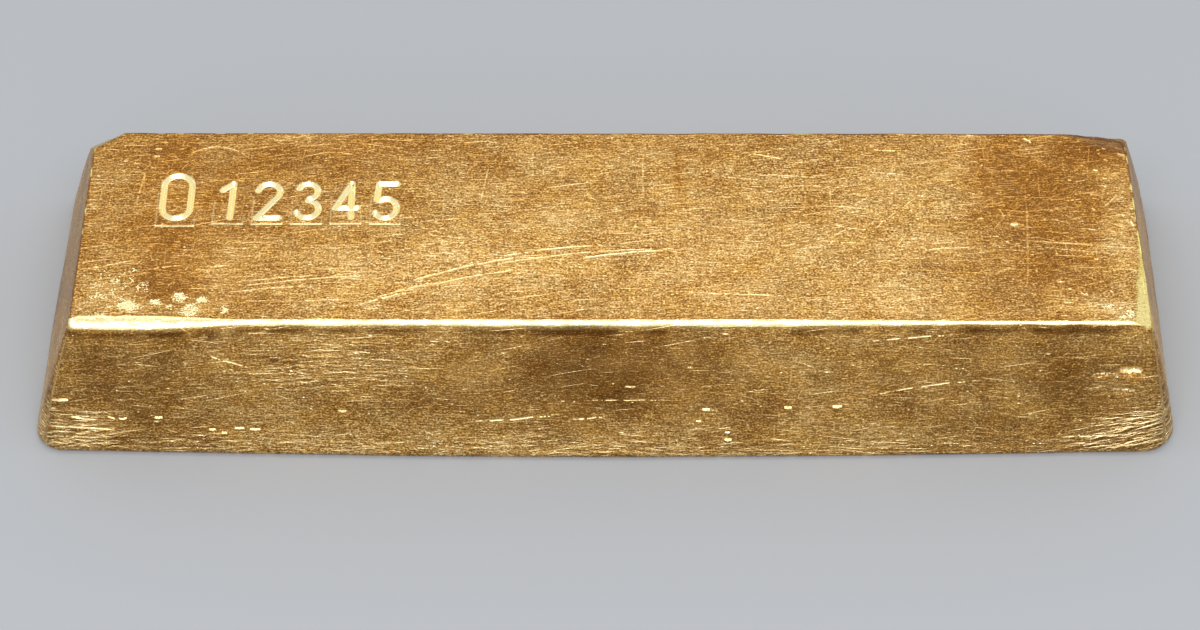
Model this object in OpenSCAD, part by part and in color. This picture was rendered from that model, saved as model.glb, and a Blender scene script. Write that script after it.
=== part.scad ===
// Large gold bar, cast in an open mould and laid on its wide cast face.
// X runs along the length, Y towards the back, Z up. The origin is the middle
// of the underside. The small face, which was the bottom of the mould, is on top.

/* [Cast form] */
// Length of the wide cast face, corner to corner before rounding
base_len = 270.2; // [230:0.2:290]
// Width of the wide cast face at its ends, before rounding
base_w = 82.4; // [70:0.2:92]
// Length of the small face on top
top_len = 249.0; // [210:0.2:265]
// Width of the small face on top
top_w = 59.8; // [50:0.2:66]
// Height from the cast face to the small face
height = 35.0; // [28:0.1:42]
// How far the small face sits towards the right end
top_shift = 0.8; // [0:0.1:2]
// How far the front edge of the cast face sits to the left of the back edge
base_skew = 1.0; // [0:0.1:2]

/* [Walls] */
// How far each long wall bows out at mid length, at the cast face
side_bow = 2.1; // [0:0.1:3]
// How far each end wall bows out at mid width, at the cast face
end_bow = 0.3; // [0:0.1:1.5]
// How far every wall swells out at half height
wall_belly = 0.4; // [0:0.1:1]

/* [Upright corners] */
// Corner radius at the cast face, front left
base_r_front_left = 8.0; // [3:0.5:12]
// Corner radius at the cast face, front right
base_r_front_right = 9.0; // [3:0.5:12]
// Corner radius at the cast face, both back corners
base_r_back = 4.5; // [3:0.5:12]
// Corner radius at the small face, all four corners
top_r = 1.2; // [0.6:0.1:3]

/* [Worn edges] */
// Rounding where the walls turn under to the cast face
rim_r = 1.4; // [0.6:0.1:2.5]
// Rounding of the front edge of the small face
front_edge_r = 1.4; // [0.5:0.1:2]
// Rounding of the front edge towards the right end
far_edge_r = 0.9; // [0.5:0.1:2]
// Rounding of the back edge of the small face
back_edge_r = 0.9; // [0.5:0.1:2]
// Rounding of the left and right edges of the small face
end_edge_r = 0.6; // [0.4:0.1:1.5]
// Rounding of the front edge where handling has worn it most, at the left
worn_edge_r = 3.0; // [1:0.1:4]
// Length of that worn stretch, from the left end
worn_len = 30; // [10:1:80]
// How round the worn edges are: 0.7 is a full arc, near 0 a flat bevel
edge_fullness = 0.40; // [0.1:0.05:0.7]

/* [Cast face] */
// Width of the level rim that the bar rests on
rim_w = 4.0; // [2:0.5:8]
// Depth of the hollow that shrinkage leaves in the cast face
dish_depth = 1.3; // [0.4:0.1:3]
// Distance over which the hollow slopes down from the rim
dish_slope = 22; // [12:1:26]

/* [Cut and beaten corners] */
// Sample cut at the back left corner: length along the bar
cut_x = 7.4; // [3:0.1:12]
// Sample cut: length across the bar
cut_y = 5.4; // [3:0.1:12]
// Sample cut: how far it runs down the corner
cut_z = 9.0; // [6:0.5:18]
// Beaten bevel at the back right corner: length along the bar
back_bevel_x = 16; // [6:1:24]
// Back right bevel: length across the bar
back_bevel_y = 7.8; // [4:0.2:12]
// Back right bevel: drop at the corner
back_bevel_z = 3.4; // [1:0.1:6]
// Beaten bevel at the front right corner: length along the bar
front_bevel_x = 4.2; // [2:0.1:8]
// Front right bevel: length across the bar
front_bevel_y = 27; // [8:1:40]
// Front right bevel: drop at the corner
front_bevel_z = 1.6; // [0.5:0.1:3]

/* [Smoothness] */
// Steps round each upright corner
corner_steps = 6; // [4:1:8]
// Steps along each long wall
long_steps = 24; // [12:2:32]
// Steps across each end wall
end_steps = 8; // [4:1:12]

/* [Hidden] */
// Lean of the walls from upright, and the half angles of the edges it makes
draft = atan((base_w - top_w) / 2 / height);
rim_run = rim_r / tan((90 - draft) / 2);
// The four plan corners in order: front left, front right, back right, back left
sx = [-1, 1, 1, -1];
sy = [-1, -1, 1, 1];
base_r = [base_r_front_left, base_r_front_right, base_r_back, base_r_back];

function mix(a, b, t) = a + (b - a) * t;
function smooth(t) = let(c = min(max(t, 0), 1)) c * c * (3 - 2 * c);
function unit(v) = v / norm(v);

// Half length and half width at height fraction t, in by d
function half_x(t, d) = mix(base_len, top_len, t) / 2 + wall_belly * 4 * t * (1 - t) - d;
function half_y(t, d) = mix(base_w, top_w, t) / 2 + wall_belly * 4 * t * (1 - t) - d;

// Plan corner k at height fraction t, in by d
function plan_corner(k, t, d) = [
    sx[k] * half_x(t, d) + mix(sy[k] * base_skew / 2, top_shift, t),
    sy[k] * half_y(t, d)];

// Corner radius at height fraction t, in by d; it grows again inside the hollow
function corner_r(k, t, d) = max(mix(base_r[k], top_r, sqrt(max(t, 0))) - d, 0.25)
    + 0.4 * max(d - rim_run - rim_w, 0);

// Stations round the outline: [corner, angle, side, share of the side].
// An angle of -1 marks a station on the side that follows that corner.
stations = [for (k = [0:3]) each concat(
    [for (j = [0:corner_steps]) [k, 90 * j / corner_steps, 0]],
    let(n = (k % 2 == 0) ? long_steps : end_steps)
        [for (j = [1:n - 1]) [k, -1, j / n]])];
n_st = len(stations);

// Plan point of a station on the straight-sided outline
function straight_point(st, t, d) = let(
    k = st[0], c = plan_corner(k, t, d),
    last = plan_corner((k + 3) % 4, t, d), next = plan_corner((k + 1) % 4, t, d),
    u = unit(last - c), v = unit(next - c),
    r = corner_r(k, t, d), r_next = corner_r((k + 1) % 4, t, d))
    st[1] >= 0
        ? c + u * r * (1 - sin(st[1])) + v * r * (1 - cos(st[1]))
        : mix(c + v * r, next - v * r_next, st[2]);

// The same point with the bow of the walls added, strongest at the cast face
function plan_point(st, t, d) = let(
    p = straight_point(st, t, d),
    fx = min(abs(p[0]) / half_x(t, d), 1), fy = min(abs(p[1]) / half_y(t, d), 1))
    [p[0] + sign(p[0]) * end_bow * (1 - t) * (1 - fy * fy) * fx,
     p[1] + sign(p[1]) * side_bow * (1 - t) * (1 - fx * fx) * fy];

// Rounding of the small face's edge along side k at plan position x
function side_edge_r(k, x) =
    k == 0 ? mix(mix(front_edge_r, worn_edge_r,
                     smooth((worn_len * 1.5 - (x + top_len / 2)) / worn_len)),
                 far_edge_r, smooth((x - top_len / 8) / (top_len / 5)))
    : k == 2 ? back_edge_r : end_edge_r;

// Rounding at a station; round a corner it runs from one side's to the next's
function station_edge_r(st) = let(k = st[0], x = straight_point(st, 1, 0)[0])
    st[1] >= 0 ? mix(side_edge_r((k + 3) % 4, x), side_edge_r(k, x), st[1] / 90)
               : side_edge_r(k, x);

// One point of the skin: height z, moved in by d from the leaning wall
function skin_point(st, z, d) =
    let(p = plan_point(st, z / height, d)) [p[0], p[1], z];

// Turned-under rim at slope angle a, from -90 underneath to the wall's own lean
function rim_point(st, a) = let(z = rim_r * (1 + sin(a)))
    skin_point(st, a == -90 ? 0 : z, rim_run - rim_r * cos(a) - z * tan(draft));

// Worn edge of the small face at share s from the face down to the wall: a
// weighted curve, most of it a narrow flat between two tight turns
function edge_point(st, s) = let(
    reach = station_edge_r(st) * tan((90 - draft) / 2),
    a = (1 - s) * (1 - s), c = s * s,
    all = a + 2 * s * (1 - s) * edge_fullness + c,
    inset = reach * (a - c * sin(draft)) / all,
    drop = reach * c * cos(draft) / all)
    skin_point(st, height - drop, inset + drop * tan(draft));

// Hollow of the cast face, at distance e in from where the rim turns level
function dish_point(st, e) =
    let(p = plan_point(st, 0, rim_run + e))
    [p[0], p[1], dish_depth * smooth((e - rim_w) / dish_slope)];

rim_angles = [for (j = [0:4]) mix(-90, draft, j / 4)];
wall_shares = [0.15, 0.35, 0.55, 0.75, 0.9];
edge_shares = [1, 0.8, 0.5, 0.2, 0];
dish_steps = [for (j = [0:7]) rim_w + (dish_slope + 3) * j / 7];

// Rings of the skin, from the middle of the hollow, round the rim and up
rings = concat(
    [for (j = [7:-1:0]) [for (st = stations) dish_point(st, dish_steps[j])]],
    [for (a = rim_angles) [for (st = stations) rim_point(st, a)]],
    [for (w = wall_shares) [for (st = stations)
        skin_point(st, mix(rim_r * 1.4, height - worn_edge_r * 0.8, w), 0)]],
    [for (s = edge_shares) [for (st = stations) edge_point(st, s)]]);
n_rings = len(rings);

// The drafted, bowed and worn casting as one closed skin. The last two points
// are the middles of the hollow and of the small face
module casting() {
    n = n_rings * n_st;
    polyhedron(
        points = concat([for (ring = rings) each ring],
            [[0, 0, dish_depth], [top_shift, 0, height]]),
        faces = [for (i = [0:n_st - 1]) let(j = (i + 1) % n_st) each concat(
            [[n, i, j]],
            [for (m = [0:n_rings - 2]) let(a = m * n_st + i, b = m * n_st + j)
                each [[a, a + n_st, b], [b, a + n_st, b + n_st]]],
            [[n + 1, n - n_st + j, n - n_st + i]])]);
}

// Flat cut that takes plan corner k off the small face: it leaves the face
// lx along the bar and ly across it, and meets the upright corner dz lower
module corner_cut(k, lx, ly, dz) {
    top = plan_corner(k, 1, 0);
    low = plan_corner(k, 1 - dz / height, 0);
    p1 = [top[0] - sx[k] * lx, top[1], height];
    p2 = [top[0], top[1] - sy[k] * ly, height];
    p3 = [low[0], low[1], height - dz];
    m = unit(cross(p2 - p1, p3 - p1));
    n = m[2] > 0 ? m : -m;
    translate(p1) rotate([0, acos(n[2]), atan2(n[1], n[0])])
        translate([-45, -45, 0]) cube([90, 90, 30]);
}

module bar() {
    color([0.80, 0.58, 0.22]) difference() {
        casting();
        corner_cut(3, cut_x, cut_y, cut_z);
        corner_cut(2, back_bevel_x, back_bevel_y, back_bevel_z);
        corner_cut(1, front_bevel_x, front_bevel_y, front_bevel_z);
    }
}

bar();
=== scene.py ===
"""Gold bar: a large cast ingot with punched digits, worn edges and cut corners.

The skin is worked out in millimetres as arrays and put into one closed mesh in metres.
X runs along the bar, Y towards the back, Z up; the bar lies on its wide cast face.
"""
import math

import bpy
import numpy as np
from mathutils import Euler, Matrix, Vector


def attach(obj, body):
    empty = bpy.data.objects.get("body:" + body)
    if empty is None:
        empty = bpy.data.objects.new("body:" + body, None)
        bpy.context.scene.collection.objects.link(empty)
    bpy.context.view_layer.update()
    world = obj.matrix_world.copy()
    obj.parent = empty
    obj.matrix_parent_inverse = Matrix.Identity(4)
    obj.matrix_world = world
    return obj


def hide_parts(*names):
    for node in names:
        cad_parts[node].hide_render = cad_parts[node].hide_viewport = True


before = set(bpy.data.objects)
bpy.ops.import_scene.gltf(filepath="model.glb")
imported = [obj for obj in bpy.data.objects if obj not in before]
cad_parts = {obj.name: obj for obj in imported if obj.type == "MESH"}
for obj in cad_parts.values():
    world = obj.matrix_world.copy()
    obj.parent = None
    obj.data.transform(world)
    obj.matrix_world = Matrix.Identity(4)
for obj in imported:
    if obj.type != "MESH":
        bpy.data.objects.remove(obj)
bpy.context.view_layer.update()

# ---- form, millimetres
BASE_L, BASE_W, TOP_L, TOP_W, HEIGHT = 270.2, 82.4, 249.0, 59.8, 35.0
TOP_SHIFT, BASE_SKEW = 0.8, 1.0
SIDE_BOW, END_BOW, BELLY = 2.1, 0.3, 0.4
BASE_R = np.array([8.0, 9.0, 4.5, 4.5])
TOP_R, RIM_R = 1.2, 1.4
FRONT_EDGE, BACK_EDGE, END_EDGE = 1.4, 0.9, 0.6
WORN_EDGE, WORN_LEN, FAR_EDGE, EDGE_FULLNESS = 3.0, 30.0, 0.9, 0.40
RIM_W, DISH_DEPTH, DISH_SLOPE, DISH_BLEND = 4.0, 1.3, 22.0, 4.0
DRAFT = math.atan((BASE_W - TOP_W) / 2 / HEIGHT)
RIM_RUN = RIM_R / math.tan((math.pi / 2 - DRAFT) / 2)
SX = np.array([-1.0, 1.0, 1.0, -1.0])
SY = np.array([-1.0, -1.0, 1.0, 1.0])

# Flat cuts at the top corners: corner, length along, length across, drop, brightness
# (how bare and pale the cut is coloured: bare gold partly, a painted highlight partly)
CORNER_CUTS = ((3, 7.4, 5.4, 9.0, 0.5), (2, 16.0, 7.8, 3.4, 0.0), (1, 4.2, 27.0, 1.6, 1.0))
CUT_TURN = 0.22  # half width of the worn turn onto a cut

# Mesh steps along a side: runs of (length share, step count), finer where it is worn
LONG_RUNS = ((0.155, 92), (0.745, 168), (0.10, 58))
END_RUNS = ((0.20, 26), (0.80, 40))
HALF, EDGE_ROWS, RIM_ROWS = 4, 8, 6
WALL_RUNS = ((0.30, 14), (0.085, 3), (0.055, 5), (0.56, 14))


def mix(a, b, t):
    """From a at t = 0 to b at t = 1."""
    return a + (b - a) * t


def smooth(t):
    """0 below 0, 1 above 1, and an even S between."""
    c = np.clip(t, 0.0, 1.0)
    return c * c * (3 - 2 * c)


def unit(v):
    """Vectors brought to length 1."""
    return v / np.maximum(np.linalg.norm(v, axis=-1, keepdims=True), 1e-12)


def spaced(runs):
    """Shares from 0 to 1 in runs of even steps."""
    ends = np.cumsum([0] + [r[0] for r in runs])
    ends = ends / ends[-1]
    parts = [np.linspace(a, b, r[1] + 1)[:-1] for a, b, r in zip(ends[:-1], ends[1:], runs)]
    return np.append(np.concatenate(parts), 1.0)


def corner_rise(x):
    """How far the strokes low on the walls climb towards the front right corner."""
    return 0.006 * np.clip(x - 102, 0, 99) ** 2


# ---- seeded noise
def lattice(i, seed):
    """Hash of whole-number cells to -1..1, the same on every run."""
    i = i.astype(np.int64)
    h = (i[..., 0] * 73856093) ^ (i[..., 1] * 19349663) ^ (i[..., 2] * 83492791) ^ (seed * 2654435)
    h = (h ^ (h >> 13)) * 1274126177 & 0xFFFFFFFF
    h = ((h ^ (h >> 15)) * 2246822519) & 0xFFFFFFFF
    return ((h ^ (h >> 16)) & 0xFFFF) / 32767.5 - 1.0


def noise(p, size, seed=0):
    """Smoothed lattice noise in -1..1; size is one cell, a number or one per axis."""
    q = p / np.asarray(size, float)
    cell = np.floor(q)
    f = q - cell
    f = f * f * f * (f * (f * 6 - 15) + 10)
    out = 0.0
    for dx in (0, 1):
        for dy in (0, 1):
            for dz in (0, 1):
                w = ((f[..., 0] if dx else 1 - f[..., 0])
                     * (f[..., 1] if dy else 1 - f[..., 1])
                     * (f[..., 2] if dz else 1 - f[..., 2]))
                out = out + w * lattice(cell + np.array([dx, dy, dz]), seed)
    return out


def layered(p, size, seed=0, layers=3):
    """Noise summed over layers, each half the size and half the strength of the last."""
    return sum(noise(p, np.asarray(size, float) / 2 ** n, seed + 17 * n) / 2 ** n
               for n in range(layers)) / (2 - 2 ** (1 - layers))


# ---- plan of the casting
def half_sizes(t, d):
    """Half the length and half the width at height share t: straight from the cast face
    to the small one, with a slight belly between, moved in by d."""
    belly = BELLY * 4 * t * (1 - t)
    return mix(BASE_L, TOP_L, t) / 2 + belly - d, mix(BASE_W, TOP_W, t) / 2 + belly - d


def plan_corner(k, t, d):
    """Plan corner k at height share t, moved in by d."""
    hx, hy = half_sizes(t, d)
    return np.stack([SX[k] * hx + mix(SY[k] * BASE_SKEW / 2, TOP_SHIFT, t), SY[k] * hy], -1)


def corner_radius(k, t, d):
    """Radius of upright corner k: it shrinks fast just above the cast face."""
    r = mix(BASE_R[k], TOP_R, np.sqrt(np.clip(t, 0, 1)))
    return np.maximum(r - d, 0.25) + 0.4 * np.maximum(d - RIM_RUN - RIM_W, 0)


class Stations:
    """Places round the outline, front left corner first, seen from above anticlockwise.

    Each quarter runs from the middle of one corner's arc to the middle of the next.
    Each station is a corner, an arc angle in degrees (or -1 on a side) and a side share.
    """

    def __init__(self, long_runs, end_runs, half):
        rows, self.quarter = [], []
        for k in range(4):
            shares = spaced(end_runs if k % 2 else long_runs)
            if k >= 2:
                shares = 1 - shares[::-1]
            self.quarter.append(len(rows))
            rows += [(k, a, 0.0) for a in np.linspace(45, 90, half + 1)]
            rows += [(k, -1.0, s) for s in shares[1:-1]]
            rows += [((k + 1) % 4, a, 0.0) for a in np.linspace(0, 45, half + 1)[:-1]]
        self.quarter.append(len(rows))
        k, a, s = (np.array(c) for c in zip(*rows))
        self.k, self.angle, self.share = k.astype(int), a, s
        self.count = len(rows)

    def ring_share(self, ring):
        """0 to 4 round a ring of points: each quarter's own share of its length."""
        seg = np.linalg.norm(np.roll(ring, -1, 0) - ring, axis=1)
        out = np.zeros(self.count)
        for q in range(4):
            a, b = self.quarter[q], self.quarter[q + 1]
            run = np.concatenate([[0], np.cumsum(seg[a:b])])
            out[a:b] = q + run[:-1] / run[-1]
        return out


def outline(k, angle, share, t, d):
    """Plan points of stations: rounded corners, straight sides, then the walls' bow."""
    last, nxt = (k + 3) % 4, (k + 1) % 4
    c, p, q = plan_corner(k, t, d), plan_corner(last, t, d), plan_corner(nxt, t, d)
    u, v = unit(p - c), unit(q - c)
    r, r_next = corner_radius(k, t, d)[..., None], corner_radius(nxt, t, d)[..., None]
    a = np.radians(angle)[..., None]
    arc = c + u * r * (1 - np.sin(a)) + v * r * (1 - np.cos(a))
    side = mix(c + v * r, q - v * r_next, share[..., None])
    xy = np.where(angle[..., None] >= 0, arc, side)
    hx, hy = half_sizes(t, d)
    fx = np.minimum(np.abs(xy[..., 0]) / hx, 1)
    fy = np.minimum(np.abs(xy[..., 1]) / hy, 1)
    x = xy[..., 0] + np.sign(xy[..., 0]) * END_BOW * (1 - t) * (1 - fy * fy) * fx
    y = xy[..., 1] + np.sign(xy[..., 1]) * SIDE_BOW * (1 - t) * (1 - fx * fx) * fy
    return np.stack([x, y], -1)


def edge_rounding(k, x):
    """Rounding of the small face's edge along side k at place x, uneven from wear."""
    worn = smooth((WORN_LEN * 1.5 - (x + TOP_L / 2)) / WORN_LEN)
    front = mix(FRONT_EDGE, WORN_EDGE, worn)
    front = mix(front, FAR_EDGE, smooth((x - TOP_L / 8) / (TOP_L / 5)))
    plain = np.select([k == 0, k == 2], [front, np.full_like(x, BACK_EDGE)], END_EDGE)
    uneven = 0.30 * layered(np.stack([x, 40.0 * k, 0 * x], -1), 6.0, 21, 2)
    return plain + uneven * np.minimum(plain, 1.0)


def station_rounding(k, angle, share):
    """Edge rounding at stations; round a corner it runs from one side's to the next's."""
    one = np.ones(k.shape)
    x = outline(k, angle, share, one, 0 * one)[..., 0]
    here = edge_rounding(k, x)
    return np.where(angle >= 0, mix(edge_rounding((k + 3) % 4, x), here, angle / 90), here)


def skin(k, angle, share, z, d):
    """Skin points of stations at height z, moved in by d from the leaning wall."""
    t = np.broadcast_to(z / HEIGHT, k.shape).astype(float)
    d = np.broadcast_to(d, k.shape).astype(float)
    xy = outline(k, angle, share, t, d)
    return np.concatenate([xy, np.broadcast_to(z, k.shape)[..., None]], -1)


def edge_ring(k, angle, share, s):
    """Ring of the small face's edge at share s from the face down to the wall: a curve
    weighted so that most of it is a narrow worn flat between two tight turns."""
    reach = station_rounding(k, angle, share) * math.tan((math.pi / 2 - DRAFT) / 2)
    a, b, c = (1 - s) ** 2, 2 * s * (1 - s) * EDGE_FULLNESS, s * s
    inset = reach * (a - c * math.sin(DRAFT)) / (a + b + c)
    drop = reach * c * math.cos(DRAFT) / (a + b + c)
    return skin(k, angle, share, HEIGHT - drop, inset + drop * math.tan(DRAFT))


def rim_ring(k, angle, share, slope):
    """Ring of the turned-under rim, from the wall's lean down to level underneath."""
    z = RIM_R * (1 + math.sin(slope))
    return skin(k, angle, share, z, RIM_RUN - RIM_R * math.cos(slope) - z * math.tan(DRAFT))


def wall_point(k, angle, share, w):
    """Wall point at share w of the way up, between the rim and the rounded edge."""
    low = RIM_R * (1 + math.sin(DRAFT))
    high = HEIGHT - station_rounding(k, angle, share) * (1 - math.sin(DRAFT))
    return skin(k, angle, share, mix(low, high, w), 0.0)


def apply_corner_cuts(p):
    """Points outside a cut's plane are laid onto it, with a narrow worn turn. Returns
    the points and how much each lies on a cut, times that cut's brightness: bare gold
    partly, a painted highlight partly."""
    on_cut = np.zeros(len(p))
    for k, lx, ly, dz, bright in CORNER_CUTS:
        top = plan_corner(k, 1.0, 0.0)
        low = plan_corner(k, 1.0 - dz / HEIGHT, 0.0)
        p1 = np.array([top[0] - SX[k] * lx, top[1], HEIGHT])
        p2 = np.array([top[0], top[1] - SY[k] * ly, HEIGHT])
        p3 = np.array([low[0], low[1], HEIGHT - dz])
        n = np.cross(p2 - p1, p3 - p1)
        n = n / np.linalg.norm(n)
        n = n if n[2] > 0 else -n
        out = (p - p1) @ n + 0.12 * layered(p, 3.0, 60 + k, 2)
        over = np.where(out < -CUT_TURN, 0.0, (out + CUT_TURN) ** 2 / (4 * CUT_TURN))
        over = np.where(out > CUT_TURN, out, over)
        p = p - over[:, None] * n
        on_cut = np.maximum(on_cut, smooth(over / 0.3) * bright)
    return p, on_cut


# ---- mesh collecting
class Mesh:
    """Collects points, each with what it lies on, and faces, as arrays."""

    def __init__(self):
        self.points, self.where, self.faces, self.count = [], [], [], 0

    def add(self, p, where):
        """Adds points of any grid shape and returns their numbers in that shape."""
        n = int(np.prod(p.shape[:-1]))
        number = np.arange(self.count, self.count + n).reshape(p.shape[:-1])
        self.points.append(p.reshape(-1, 3))
        self.where.append(np.full(n, where))
        self.count += n
        return number

    def quads(self, g, keep=None, wrap=False):
        """Faces between the rows and columns of a grid of point numbers."""
        if wrap:
            g = np.concatenate([g, g[:, :1]], 1)
        q = np.stack([g[:-1, :-1], g[:-1, 1:], g[1:, 1:], g[1:, :-1]], -1)
        q = q[keep] if keep is not None else q.reshape(-1, 4)
        self.faces.append(q)

    def zip_rings(self, a, sa, b, sb):
        """Triangles between two closed rings of point numbers, with shares 0 to 4.

        Each ring's edges are taken in order of their middle share; ring a is on the
        right of ring b when followed, so the triangles face the same way as quads do.
        """
        ma = (sa + np.append(sa[1:], sa[0] + 4)) / 2
        mb = (sb + np.append(sb[1:], sb[0] + 4)) / 2
        j = np.searchsorted(mb, ma) % len(b)
        i = np.searchsorted(ma, mb, side="right") % len(a)
        self.faces.append(np.stack([a, np.roll(a, -1), b[j]], -1))
        self.faces.append(np.stack([np.roll(b, -1), b, a[i]], -1))

    def patch(self, number, keep, rows, columns, fine):
        """Sets a finer grid of points into a gap of a sheet and joins their borders."""
        keep[slice(*rows), slice(*columns)] = False
        gap = number[rows[0]:rows[1] + 1, columns[0]:columns[1] + 1]
        self.quads(fine)
        self.zip_rings(*rectangle_ring(gap), *rectangle_ring(fine))


def rectangle_ring(g):
    """The border of a grid of point numbers, anticlockwise, with shares 0 to 4."""
    ny, nx = g.shape[0] - 1, g.shape[1] - 1
    ring = np.concatenate([g[0, :-1], g[:-1, -1], g[-1, :0:-1], g[:0:-1, 0]])
    share = np.concatenate([np.arange(nx) / nx, 1 + np.arange(ny) / ny,
                            2 + np.arange(nx) / nx, 3 + np.arange(ny) / ny])
    return ring, share


def sheet_from_border(border, st):
    """A grid filled in from its four border curves: the sheet of straight lines from the
    front border to the back one, plus that from left to right, less the corners' blend."""
    q = st.quarter
    f, r = border[q[0]:q[1] + 1], border[q[1]:q[2] + 1]
    b = border[q[2]:q[3] + 1][::-1]
    l = np.concatenate([border[q[3]:q[4]], border[:1]])[::-1]
    runs = (np.append(0, np.cumsum(np.linalg.norm(np.diff(c, axis=0), axis=1))) for c in (f, r))
    u, v = (run / run[-1] for run in runs)
    U, V = u[None, :, None], v[:, None, None]
    return ((1 - V) * f[None] + V * b[None] + (1 - U) * l[:, None] + U * r[:, None]
            - ((1 - U) * (1 - V) * f[0] + U * (1 - V) * f[-1]
               + (1 - U) * V * b[0] + U * V * b[-1]))


def fit_patch(mesh, grid, number, xs, ys, where, level):
    """Sets a finer level patch into a level sheet. Returns the sheet's cells kept."""
    gx, gy = grid[..., 0], grid[..., 1]
    i0 = np.searchsorted(gx.max(0), xs[0] - 0.2) - 1
    i1 = np.searchsorted(gx.min(0), xs[-1] + 0.2)
    j0 = np.searchsorted(gy[:, i0:i1].max(1), ys[0] - 0.2) - 1
    j1 = np.searchsorted(gy[:, i0:i1].min(1), ys[-1] + 0.2)
    keep = np.ones((grid.shape[0] - 1, grid.shape[1] - 1), bool)
    X, Y = np.meshgrid(xs, ys)
    fine = mesh.add(np.stack([X, Y, np.full_like(X, level)], -1), where)
    mesh.patch(number, keep, (j0, j1), (i0, i1), fine)
    return keep


# ---- punched digits
def arc(cx, cy, rx, ry, a0, a1, n=14):
    """Points round an ellipse from one angle to another, in degrees."""
    a = np.radians(np.linspace(a0, a1, n))
    return np.stack([cx + rx * np.cos(a), cy + ry * np.sin(a)], -1)


GW, GH = 5.3, 10.9  # middle lines of one digit, width and height
MID = GW / 2

# Middle line of each plain digit, as pieces of one run of points in its own box
DIGITS = {
    "0": (arc(MID, GH - MID, MID, MID, 0, 180), arc(MID, MID, MID, MID, 180, 360), [[GW, GH - MID]]),
    "1": ([[GW * 0.58, 0], [GW * 0.58, GH], [GW * 0.12, GH * 0.80]],),
    "2": (arc(MID, GH - MID, MID, MID, 168, -28), [[0.0, 0.0], [GW, 0.0]]),
    "3": (arc(GW * 0.48, GH - GW * 0.46, GW * 0.44, GW * 0.46, 158, -80),
          arc(MID, GW * 0.52, MID, GW * 0.52, 88, -158, 18)),
    "4": ([[GW, GH * 0.28], [0, GH * 0.28], [GW * 0.72, GH], [GW * 0.72, 0]],),
    "5": ([[GW * 0.94, GH], [GW * 0.14, GH], [GW * 0.07, GH * 0.54]],
          arc(GW * 0.48, GW * 0.58, GW * 0.50, GW * 0.58, 128, -150, 20))}

# Each punch: digit, left end of its box, its foot, its size, lean in degrees, depth
PUNCHES = (("0", -105.4, 1.7, 1.25, 1.0, 1.0), ("1", -92.3, 1.9, 1.0, -1.0, 0.95),
           ("2", -83.0, 1.8, 1.0, 0.5, 1.0), ("3", -73.7, 1.8, 1.0, 0.0, 0.9),
           ("4", -64.4, 1.9, 1.0, 1.2, 1.0), ("5", -55.1, 1.8, 1.0, -0.6, 1.0))


def line_distance(p, runs):
    """Distance in plan from each point to the nearest piece of the given runs, and how
    far behind (+1) or before (-1) that piece the point lies."""
    best, behind = np.full(len(p), 1e9), np.zeros(len(p))
    for run in runs:
        for a, b in zip(run[:-1], run[1:]):
            ab = b - a
            t = np.clip(((p - a) @ ab) / max(ab @ ab, 1e-9), 0, 1)
            off = p - a - t[:, None] * ab
            d = np.linalg.norm(off, axis=1)
            closer = d < best
            best[closer], behind[closer] = d[closer], (off[:, 1] / np.maximum(d, 1e-9))[closer]
    return best, behind


def placed(run, x, y, size, lean):
    """A run of a digit's own points, sized, leant and put in its place."""
    a = math.radians(lean)
    q = (run - [GW / 2, 0]) * size
    return np.stack([q[:, 0] * math.cos(a) - q[:, 1] * math.sin(a) + x + GW * size / 2,
                     q[:, 0] * math.sin(a) + q[:, 1] * math.cos(a) + y], -1)


def punched_relief(p):
    """Depth of the punched row: V grooves with a raised lip, and the faint lines that
    each punch's shank leaves under and beside its digit. Returns depth and groove share."""
    depth, groove = np.zeros(len(p)), np.zeros(len(p))
    xy = p[:, :2]
    for which, x, y, size, lean, press in PUNCHES:
        near = (np.abs(xy[:, 0] - x - GW / 2) < 9) & (np.abs(xy[:, 1] - y - 6) < 12)
        if not near.any():
            continue
        q = xy[near]

        def lines(*runs):
            return line_distance(q, [placed(np.array(r), x, y, size, lean) for r in runs])

        d, behind = lines(np.concatenate(DIGITS[which]))
        half = 0.86 + 0.26 * behind
        v = np.clip(1 - d / half, 0, 1)
        cut = -0.90 * press * np.minimum(v, 0.95)
        lip = 0.06 * np.exp(-((d - half - 0.16) / 0.2) ** 2)
        left, right, low = -0.95, GW + 0.95, -1.7
        foot = lines([[left, low], [right, low]])[0]
        sides = lines([[left, low], [left, 1.0 + 30 * (press - 0.8)]], [[right, low], [right, 0.6]])[0]
        shank = -0.26 * np.clip(1 - foot / 0.34, 0, 1) - 0.10 * np.clip(1 - sides / 0.26, 0, 1)
        depth[near] += cut + lip + shank * (v <= 0)
        groove[near] = np.maximum(groove[near], np.maximum(
            smooth(v * 6), np.clip(-shank / 0.27, 0, 1) * (v <= 0)))
    return depth, groove


# ---- relief
def dent(p, centre, reach, turn=0.0):
    """A hollow's share at each point, with even flanks; reach is its half size on each axis."""
    q = p - np.asarray(centre, float)
    if turn:
        a = math.radians(turn)
        q = np.stack([q[:, 0] * math.cos(a) + q[:, 2] * math.sin(a), q[:, 1],
                      -q[:, 0] * math.sin(a) + q[:, 2] * math.cos(a)], -1)
    r = np.linalg.norm(q / np.asarray(reach, float), axis=1)
    return np.clip(1.25 - r, 0, 1)


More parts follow.
